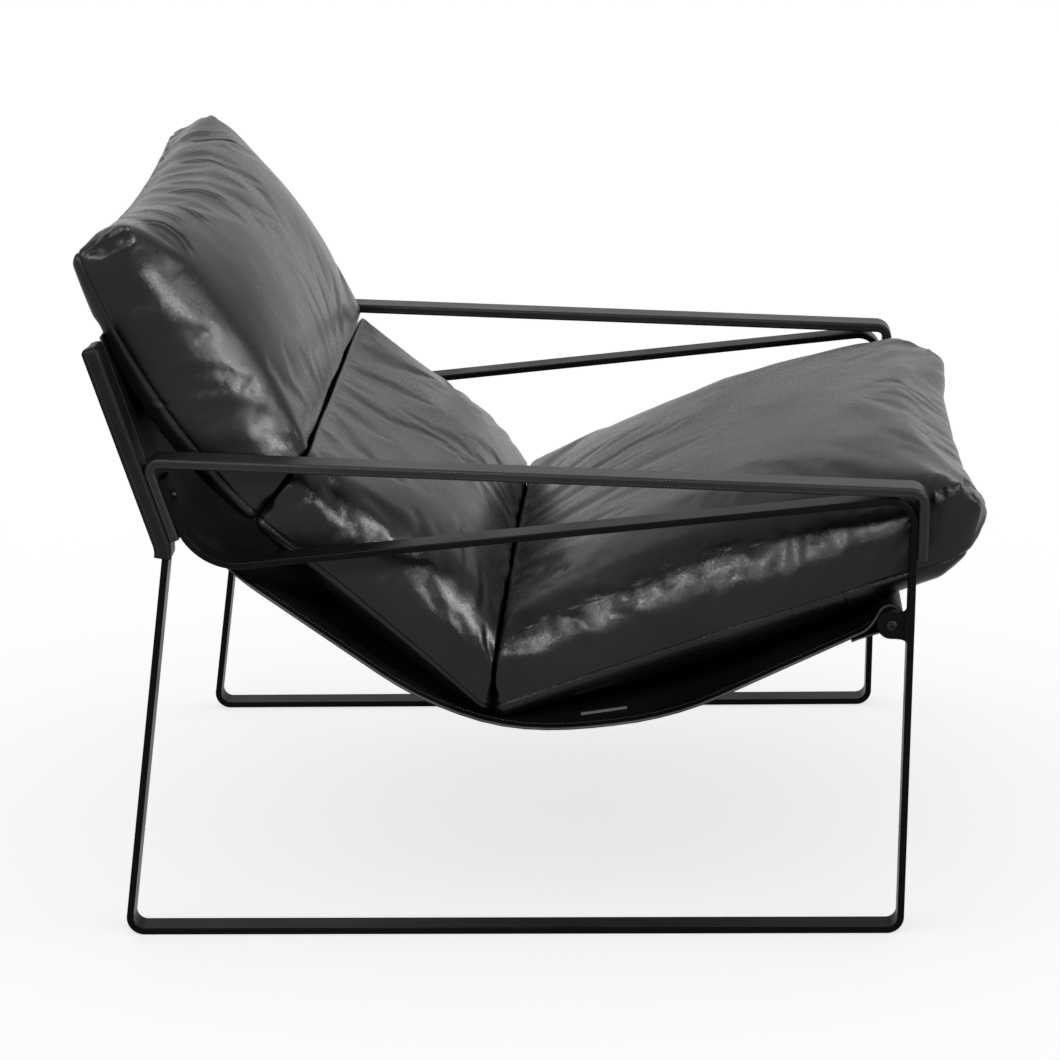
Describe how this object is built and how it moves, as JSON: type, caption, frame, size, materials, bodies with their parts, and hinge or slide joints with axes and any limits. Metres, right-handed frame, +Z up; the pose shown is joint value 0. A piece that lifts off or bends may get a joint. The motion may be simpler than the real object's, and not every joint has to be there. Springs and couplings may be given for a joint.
{
  "type": "leather sling lounge chair",
  "caption": "Low lounge chair: bent flat-bar steel side frames with leather-sewn arms, a leather sling hung between them and loose boxed leather cushions.",
  "frame": {"origin": "on the floor, at the middle of the whole chair's length and width", "axes": "+X towards the front of the seat, +Y towards the sitter's left arm, +Z up"},
  "size_m": [0.8982, 0.7042, 0.7394],
  "materials": {
    "coated_steel": "satin black powder coat",
    "bolt_steel": "blackened zinc",
    "arm_leather": "satin, black, edge stitched",
    "sling_leather": "satin, black, thick saddle leather",
    "cushion_leather": "soft semi-gloss, black, finely creased"
  },
  "bodies": {
    "root": {"side_frame_right": "coated_steel", "side_frame_left": "coated_steel", "arm_bar_right": "coated_steel", "arm_bar_left": "coated_steel", "arm_leather_right": "arm_leather", "arm_leather_left": "arm_leather", "sling_sleeve_right": "sling_leather", "sling_sleeve_left": "sling_leather", "sling_panel": "sling_leather", "front_rail": "coated_steel", "rail_plug_right": "bolt_steel", "rail_plug_left": "bolt_steel", "front_bracket_right": "coated_steel", "front_bracket_left": "coated_steel", "rear_crossbar": "coated_steel", "arm_rear_bolt_right": "bolt_steel", "arm_rear_bolt_left": "bolt_steel", "arm_front_screw_right": "bolt_steel", "arm_front_screw_left": "bolt_steel", "rail_bolt_right": "bolt_steel", "rail_bolt_left": "bolt_steel", "head_cushion": "cushion_leather", "back_cushion": "cushion_leather", "seat_cushion": "cushion_leather"}
  },
  "joints": []
}
